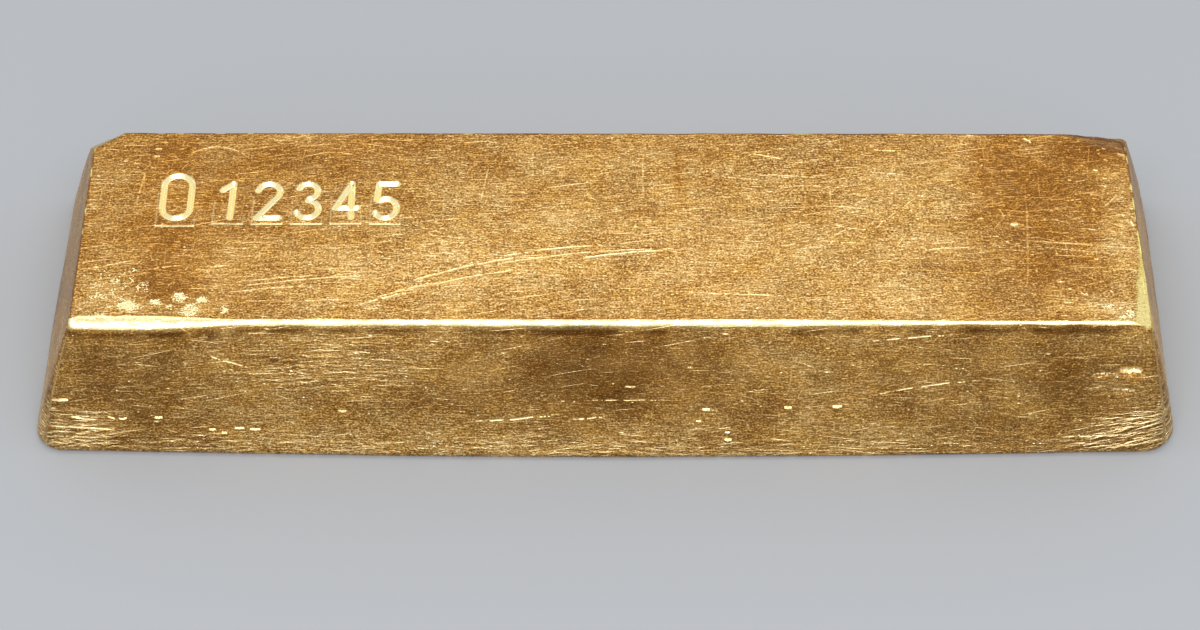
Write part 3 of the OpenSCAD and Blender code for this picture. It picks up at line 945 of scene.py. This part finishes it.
def strokes_group():
    """Straight scratches: a drawn-out cell pattern holds one groove in some of its cells,
    each with its own small tilt, length and strength, and with tapering ends. Puts out
    how the face leans along and across, and the scratch's share."""
    def fill(n, s):
        turned = n.turn(s["Lay"], s["Angle"], (1, 1, 1))
        size = n.joined(s["Length"], s["Width"], 1.0)
        place = n.vector("ADD", n.vector("DIVIDE", turned, size), n.joined(s["Seed"], s["Seed"]))
        cells = n.cells(place)
        away = n.vector("MULTIPLY", n.vector("SUBTRACT", place, cells["Position"]), size)
        along, off = n.parts(away)[:2]
        tilt, reach, pick = n.parts(cells["Color"])[:3]
        slope = n.times(n.minus(tilt, 0.5), s["Spread"])
        off = n.math("DIVIDE", n.minus(off, n.times(along, slope)), s["Half"])
        line = n.step(n.math("ABSOLUTE", off), 1.0, 0.5)
        reach = n.times(n.scaled(reach, 0.34, 0.10), s["Length"])
        ends = n.step(n.math("ABSOLUTE", along), reach, n.times(reach, 0.3))
        where = n.noise(n.vector("ADD", s["Lay"], n.joined(n.times(s["Seed"], 11))), 0.07, 1.0)
        share = n.scaled(n.minus(where, 0.5), 1.4, s["Share"])
        kept = n.step(pick, n.minus(1.0, share), n.minus(1.5, share))
        mask = n.times(n.times(line, ends), kept)
        steep = n.times(n.times(off, -1.5), n.times(mask, s["Steep"]))
        return n.joined(n.times(steep, n.math("SINE", s["Angle"])),
                        n.times(steep, n.math("COSINE", s["Angle"])), mask)
    return group("straight_scratches", {"Lay": None, "Angle": 0.0, "Spread": 0.2, "Length": 10.0,
                                        "Width": 1.0, "Half": 0.15, "Share": 0.4, "Seed": 0.0,
                                        "Steep": 0.6}, "Lean", fill)


def flecks_group():
    """Scattered bright flecks: small round pits at the middles of some of a cell
    pattern's cells. Puts out how the face leans along and across, and the share."""
    def fill(n, s):
        place = n.vector("DIVIDE", s["Lay"], s["Size"])
        cells = n.cells(place)
        pick = n.parts(cells["Color"])
        kept = n.step(pick[0], n.minus(1.0, s["Share"]), n.minus(1.02, s["Share"]))
        reach = n.scaled(pick[1], 0.24, 0.08)
        dot = n.minus(1.0, n.step(cells["Distance"], n.times(reach, 0.5), reach))
        mask = n.times(kept, dot)
        lean = n.vector("MULTIPLY", n.vector("SUBTRACT", cells["Position"], place), (4, 4, 0))
        scaled = n.vector("MULTIPLY", lean, n.joined(mask, mask, 0.0))
        return n.vector("ADD", scaled, n.joined(0.0, 0.0, mask))
    return group("bright_flecks", {"Lay": None, "Size": (1.0, 1.0, 1.0), "Share": 0.1}, "Lean", fill)


def long_scratch_group():
    """Long scratches from their field: a thin groove where the side distance is small,
    fading at both ends and broken here and there. A strength under 0 marks an upright
    scratch, over 1.5 a knock whose whole face leans up the wall. Puts out how the face
    leans along and across, and the scratch's share."""
    def fill(n, s):
        along, off, strength = n.parts(s["Field"])[:3]
        upright = n.step(strength, 0.0, -0.01)
        knock = n.step(strength, 1.4, 1.6)
        strength = n.math("MINIMUM", n.math("ABSOLUTE", strength), 1.0)
        run = n.joined(n.times(along, 5.0), n.times(strength, 3.0), s["Seed"])
        off = n.swung(off, (n.noise(run, 1.0, 3.0, 0.6), 1.6))
        ends = n.times(n.step(along, 0.0, 0.2), n.step(along, 1.0, 0.8))
        line = n.step(n.math("ABSOLUTE", off), 1.0, 0.45)
        breaks = n.step(n.noise(n.vector("MULTIPLY", run, (1.6, 1.0, 1.0)), 1.0, 3.0, 0.7), 0.34, 0.46)
        breaks = n.most(breaks, knock)
        mask = n.times(n.times(line, ends), n.times(breaks, strength))
        steep = n.times(n.times(off, -1.3), n.minus(1.0, knock))
        steep = n.times(n.scaled(knock, 0.85, steep), mask)
        return n.joined(n.times(steep, upright),
                        n.times(steep, n.minus(1.0, upright)), mask)
    return group("long_scratches", {"Field": None, "Seed": 0.0}, "Lean", fill)


# Short scratches: angle, spread, cell length and width, half width, share, strength, steepness
SHORT_SCRATCHES = (
    (4, 0.4, 3.2, 0.62, 0.15, 0.7, 0.7, 0.35), (-2, 0.34, 4.6, 0.7, 0.14, 0.6, 0.7, 0.35),
    (3, 0.24, 9, 1.5, 0.16, 0.6, 0.8, 0.5), (9, 0.14, 20, 2.6, 0.17, 0.6, 1, 0.7),
    (-4, 0.14, 15, 2.4, 0.16, 0.5, 1, 0.6), (-26, 0.5, 5, 2, 0.16, 0.45, 0.9, 0.6),
    (50, 0.6, 4.6, 2.2, 0.16, 0.45, 0.9, 0.6), (87, 0.2, 11, 4, 0.16, 0.45, 0.7, 0.6))


def scratched(n, lay, beaten, scratch_layers):
    """Every scratch and fleck together. Returns how the face leans along and across, and
    the shares of short scratches, of long ones and of flecks."""
    strokes, flecks_tree, long_tree = strokes_group(), flecks_group(), long_scratch_group()
    lean, short = (0.0, 0.0, 0.0), 0.0
    for seed, row in enumerate(SHORT_SCRATCHES):
        angle, spread, length, width, half, share, strength, steep = row
        mark = n.call(strokes, Lay=lay, Angle=-math.radians(angle), Spread=spread, Length=length,
                      Width=width, Half=half, Share=share, Seed=3.7 * seed + 1.3, Steep=steep)
        lean = n.vector("ADD", lean, mark)
        short = n.most(short, n.times(n.parts(mark)[2], strength))
    deep = 0.0
    for i in range(scratch_layers):
        mark = n.call(long_tree, Field=n.painted(f"scratch_{i}", "Vector"), Seed=7.0 * i)
        lean = n.vector("ADD", lean, mark)
        deep = n.most(deep, n.parts(mark)[2])
    share = n.scaled(beaten, 0.20, 0.05)
    mark = n.vector("ADD", n.call(flecks_tree, Lay=lay, Size=(1.5, 1.0, 1.0), Share=share),
                    n.call(flecks_tree, Lay=lay, Size=(3.4, 1.3, 1.0), Share=n.times(share, 0.5)))
    lean = n.vector("ADD", lean, mark)
    return lean, short, deep, n.parts(mark)[2]


def gold_material(scratch_layers):
    """Bare cast gold under a thin, uneven brown film, brushed and scratched by handling,
    with painted shade on the front wall and painted highlights and glints.
    """
    mat = bpy.data.materials.new("worn_cast_gold")
    mat.use_nodes = True
    mat.node_tree.nodes.clear()
    n = Nodes(mat.node_tree)
    place = n.put("ShaderNodeTexCoord").outputs["Object"]
    place = n.vector("MULTIPLY", place, (1000, 1000, 1000))
    lay_flat = n.painted("lay", "Vector")
    groove, pitted, worn, film_and_shade, tinted, pale, beaten = (n.painted(a) for a in MASKS)
    sway = n.drawn(lay_flat, (46, 30), 5.0, 1.0)
    lay = n.vector("ADD", lay_flat, n.joined(y=n.times(sway, 3.5)))

    # soft variation, from wide to fine
    wide = n.noise(place, 0.026, 2.0, 0.5, flat=False)
    patch = n.drawn(lay_flat, (14, 9), 11.0, 3.0, 0.55)
    mottle = n.drawn(lay, (2.8, 1.5), 17.0, 3.0, 0.65)
    grain = n.drawn(lay, (0.50, 0.42), 23.0, 1.0, 0.6)
    brushed = n.drawn(lay, (14.0, 0.60), 31.0, 2.0, 0.6)
    hatch = n.drawn(lay, (1.7, 0.32), 37.0, 1.0, 0.6)
    cross = n.drawn(n.turn(lay, 1.32, (1, 1, 1)), (4.4, 0.50), 41.0, 1.0, 0.6)

    lean, short, deep, flecks = scratched(n, lay, beaten, scratch_layers)

    # tone: 0 is brown film, 1 is bare bright gold
    fine = n.most(n.scaled(film_and_shade, -0.33, n.scaled(beaten, -0.22, 1.01)), 0.44)
    # the walls' film is mostly painted shade and reflection; it also swings the wide and patch noise
    # harder, a partly painted reflection
    wall_film_and_shade = n.minus(film_and_shade, tinted)
    detail = n.swung(0.0, (grain, 0.80), (brushed, 0.32), (hatch, 0.44), (cross, 0.15), (mottle, 0.24))
    broad = n.scaled(wall_film_and_shade, 0.08, 0.30)
    # painted glints: the tone is lifted at the peaks of grain and hatch, as bright specks
    painted_glints = n.step(n.swung(grain, (hatch, 0.8)), 0.58, 0.78)
    # the film darkens the tone, and on the front wall that is painted shade; scratches, flecks and
    # pitted skin lift it, partly bare gold through the film, partly painted glints
    tone = n.laid(n.swung(0.385, (wide, broad), (patch, broad)),
                  (detail, fine), (painted_glints, 0.18), (film_and_shade, -0.11),
                  (short, n.scaled(wall_film_and_shade, -0.16, 0.40)), (n.most(flecks, deep), 0.60),
                  (pitted, 0.13))
    ramp = n.put("ShaderNodeValToRGB")
    n.feed(ramp, tone)
    stops = ((0.0, (0.12, 0.048, 0.010)), (0.25, (0.30, 0.146, 0.036)), (0.5, (0.61, 0.345, 0.099)),
             (0.75, (0.91, 0.60, 0.23)), (1.0, (1.0, 0.84, 0.45)))
    for at, colour in stops[1:-1]:
        ramp.color_ramp.elements.new(at).color = (*colour, 1)
    for at in (0, -1):
        ramp.color_ramp.elements[at].color = (*stops[at][1], 1)

    def blend(base, colour, share, kind="MIX"):
        node = n.put("ShaderNodeMix", data_type="RGBA", blend_type=kind)
        n.plug(node.inputs[0], share)
        n.plug(node.inputs[6], base)
        n.plug(node.inputs[7], (*colour, 1))
        return node.outputs[2]

    filmed = n.math("ADD", n.times(tinted, 0.75, clamp=True),
                    n.times(n.minus(0.5, patch), 1.5), clamp=True)
    colour = blend(ramp.outputs["Color"], (1.0, 0.86, 0.66), filmed, "MULTIPLY")
    hue = n.drawn(lay_flat, (11, 7), 71.0, 3.0, 0.6)
    colour = blend(colour, (0.99, 0.97, 0.86), n.step(hue, 0.48, 0.62), "MULTIPLY")
    colour = blend(colour, (0.97, 1.01, 1.08), n.step(hue, 0.50, 0.36), "MULTIPLY")
    crumbs = n.step(n.swung(pitted, (grain, 2.6), (mottle, 1.9)), 0.50, 0.62)
    crumbs = n.times(crumbs, n.step(pitted, 0.05, 0.25))
    bare = n.times(worn, n.scaled(grain, 1.5, 0.10), clamp=True)
    colour = blend(colour, (1.0, 0.87, 0.25), bare)
    # grooves, shank lines and the worn front band get a paler gold: clean metal partly, a painted
    # highlight partly
    colour = blend(colour, (1.0, 0.88, 0.50), n.most(groove, n.times(pale, bare)))
    # the splashes' crumbs get a paler gold: clean rough skin partly, a painted highlight partly
    colour = blend(colour, (1.0, 0.88, 0.48), n.times(crumbs, n.step(hatch, 0.28, 0.50)))
    cleaned = n.most(n.most(bare, groove), crumbs)

    rough = n.laid(0.22, (patch, 0.20), (brushed, 0.14), (cleaned, -0.12))
    rough = n.scaled(pale, -0.08, n.most(rough, 0.18))

    laps = n.drawn(n.vector("MULTIPLY_ADD", n.joined(mottle, mottle, mottle), (2.0, 1.2, 0.0), lay),
                   (12.0, 1.8), 57.0, 2.0, 0.5)
    laps = n.math("ABSOLUTE", n.minus(laps, 0.5))
    height = n.laid(n.times(hatch, 0.035), (brushed, 0.04), (grain, 0.055), (mottle, 0.09),
                    (crumbs, n.scaled(grain, 0.30, -0.06)), (n.times(laps, beaten), 2.3))
    # the face leans into its scratches: along and across are taken on the face itself
    face = n.put("ShaderNodeNewGeometry").outputs["Normal"]
    across = n.vector("NORMALIZE", n.vector("CROSS_PRODUCT", face, (1, 0, 0)))
    along = n.vector("CROSS_PRODUCT", across, face)
    x, y = n.parts(lean)[:2]
    y = n.scaled(n.times(crumbs, mottle), -0.45, y)
    # the worn front edge is uneven, and lies flatter towards the left end
    flatter = n.scaled(n.step(n.parts(place)[0], -80.0, -98.0), 0.15, -0.15)
    y = n.scaled(pale, n.scaled(mottle, 0.30, flatter), y)
    leaned = n.vector("MULTIPLY_ADD", along, n.joined(x, x, x), face)
    leaned = n.vector("NORMALIZE", n.vector("MULTIPLY_ADD", across, n.joined(y, y, y), leaned))
    calm = n.most(n.most(pale, groove), n.times(film_and_shade, 0.45, clamp=True))
    raised = n.feed(n.put("ShaderNodeBump"), Strength=n.scaled(calm, -0.65, 1.0), Distance=0.001,
                    Height=height, Normal=leaned)["Normal"]
    # facets of the walls that lean up, towards the lamps, are painted paler: a painted highlight
    painted_upfacing_glint = n.parts(n.vector("SUBTRACT", raised, face))[2]
    colour = blend(colour, (1.0, 0.84, 0.46), n.times(n.step(painted_upfacing_glint, 0.15, 0.42), 0.7))

    shader = n.feed(n.put("ShaderNodeBsdfPrincipled"), Base_Color=colour, Metallic=1.0,
                    Roughness=rough, Normal=raised)["BSDF"]
    n.feed(n.put("ShaderNodeOutputMaterial"), Surface=shader)
    return mat


# ---- stage
def make_floor():
    """A level, dull, pale floor under the bar."""
    mesh = bpy.data.meshes.new("floor")
    s = 6.0
    mesh.from_pydata([(-s, -s, 0), (s, -s, 0), (s, s, 0), (-s, s, 0)], [], [(0, 1, 2, 3)])
    mat = bpy.data.materials.new("pale_floor")
    mat.use_nodes = True
    shader = mat.node_tree.nodes["Principled BSDF"]
    shader.inputs["Base Color"].default_value = (0.385, 0.404, 0.432, 1)
    shader.inputs["Roughness"].default_value = 0.9
    shader.inputs["Specular IOR Level"].default_value = 0.1
    mesh.materials.append(mat)
    in_scene("floor", mesh)


def lamp(name, size, glow, place, aim, colour=(1, 1, 1)):
    """A flat soft lamp whose face shines with the given brightness."""
    data = bpy.data.lights.new(name, "AREA")
    data.shape, data.size, data.size_y = "RECTANGLE", size[0], size[1]
    data.energy, data.color = glow * math.pi * size[0] * size[1], colour
    ob = in_scene(name, data)
    ob.location = place
    ob.rotation_euler = (Vector(aim) - Vector(place)).to_track_quat("-Z", "Y").to_euler()
    ob.visible_camera = False


def make_stage():
    """The floor, soft lamps of even, neutral light, and a pale room round them."""
    make_floor()
    lamp("high_back_soft_lamp", (0.50, 0.50), 0.24, (0.02, 0.62, 0.78), (0, 0, 0.03))
    lamp("front_strip_lamp", (0.66, 0.27), 6.2, (0.0, -0.48, 0.78), (0, 0, 0.03))
    for side in (-1, 1):
        lamp("side_lamp", (0.70, 0.30), 0.65, (side * 0.90, 0.60, 0.24), (0, 0, 0.03))
    lamp("overhead_strip_lamp", (0.80, 0.07), 6.0, (0.0, 0.20, 0.95), (0, 0, 0.03))
    lamp("low_front_lamp", (1.00, 0.10), 1.8, (0.0, -0.95, 0.20), (0, 0, 0.02), (0.95, 0.97, 1.0))
    world = bpy.data.worlds.new("pale_room")
    bpy.context.scene.world = world
    world.use_nodes = True
    back = world.node_tree.nodes["Background"]
    back.inputs["Color"].default_value = (1.0, 0.99, 0.97, 1)
    back.inputs["Strength"].default_value = 0.88


def make_camera():
    """Looks down at the front of the bar, level with its length."""
    data = bpy.data.cameras.new("camera")
    data.sensor_width, data.lens = 36.0, 90.80
    cam = in_scene("camera", data)
    cam.location = (-0.00108, -0.47560, 0.56866)
    cam.rotation_euler = Euler((math.radians(40.0), 0.0, math.radians(0.065)), "XYZ")
    data.clip_start, data.clip_end = 0.01, 50.0
    bpy.context.scene.camera = cam


make_camera()
make_stage()
bar, scratch_layers = make_bar()
bar.data.materials.append(gold_material(scratch_layers))
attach(bar, "root")
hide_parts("bar")

scene = bpy.context.scene
scene.view_settings.view_transform = "Standard"
